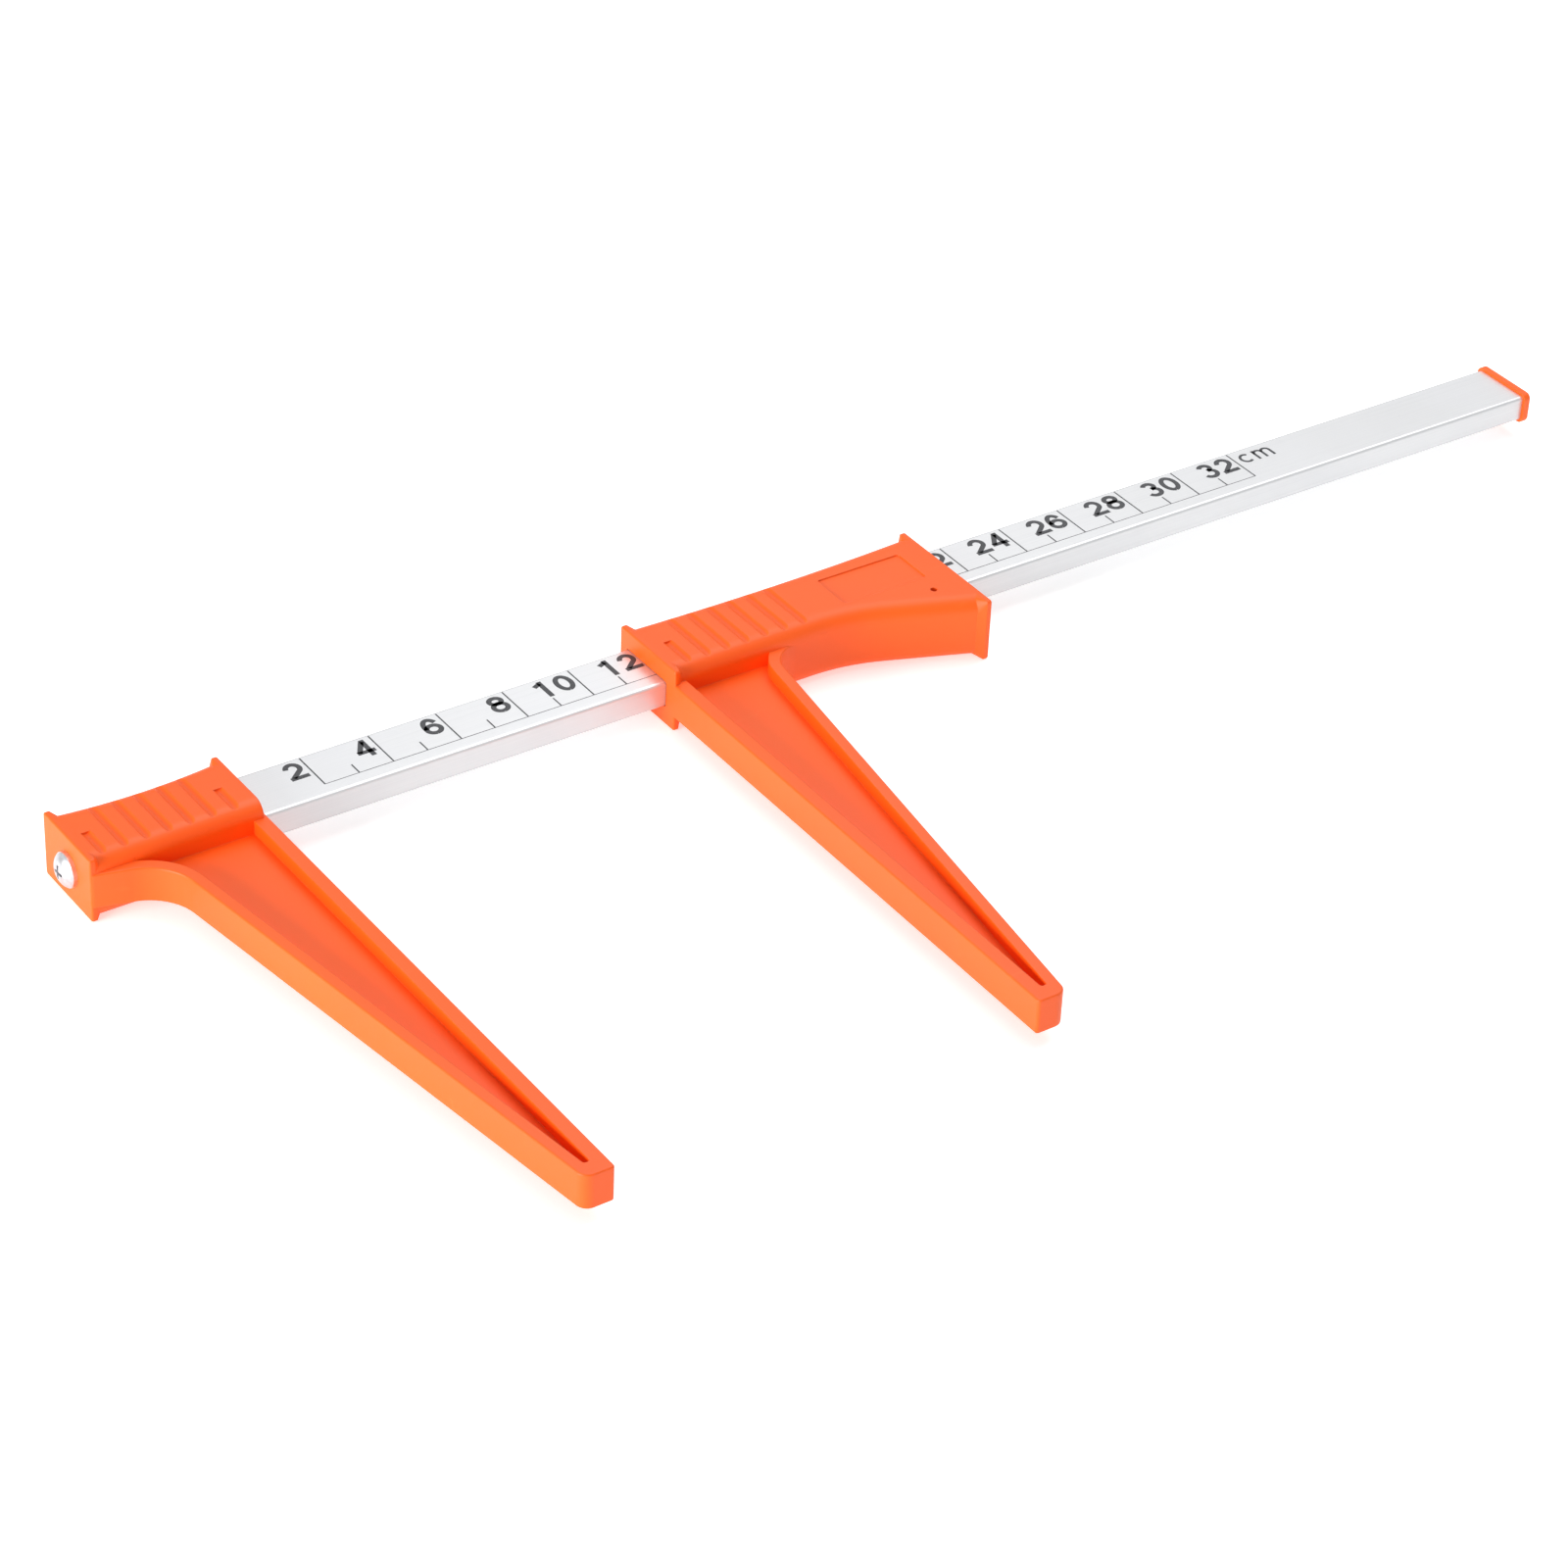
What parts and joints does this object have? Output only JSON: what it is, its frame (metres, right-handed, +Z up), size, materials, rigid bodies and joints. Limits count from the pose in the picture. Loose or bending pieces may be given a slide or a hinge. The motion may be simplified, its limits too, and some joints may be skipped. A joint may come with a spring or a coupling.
{
  "type": "log caliper",
  "caption": "Log caliper: flat aluminium beam with a centimetre scale, a fixed jaw screwed to its end and a friction-held sliding jaw, both with long tapered channel arms.",
  "frame": {"origin": "middle of the bounding box in plan, on the surface that the caliper lies on", "axes": "+X along the beam from the fixed jaw to the free end, +Y square to the beam away from the arms, +Z up through the printed face"},
  "size_m": [0.471, 0.1866, 0.0185],
  "materials": {
    "beam_aluminium": "satin clear anodised extrusion with a grey printed scale",
    "orange_plastic": "fine-grained moulded plastic, bright orange",
    "screw_steel": "zinc-plated steel",
    "spring_steel": "hardened strip and pin, plain",
    "cap_plastic": "moulded plastic, bright orange"
  },
  "bodies": {
    "beam_and_fixed_jaw": {"beam": "beam_aluminium", "fixed_jaw": "orange_plastic", "fixed_jaw_screw": "screw_steel", "end_cap": "cap_plastic"},
    "slider": {"sliding_jaw": "orange_plastic", "friction_spring": "spring_steel", "spring_pin": "spring_steel"}
  },
  "joints": [
    {"name": "jaw_slide", "type": "slide", "parent": "beam_and_fixed_jaw", "child": "slider", "axis": [1, 0, 0], "range_m": [-0.1191, 0.2044]}
  ]
}
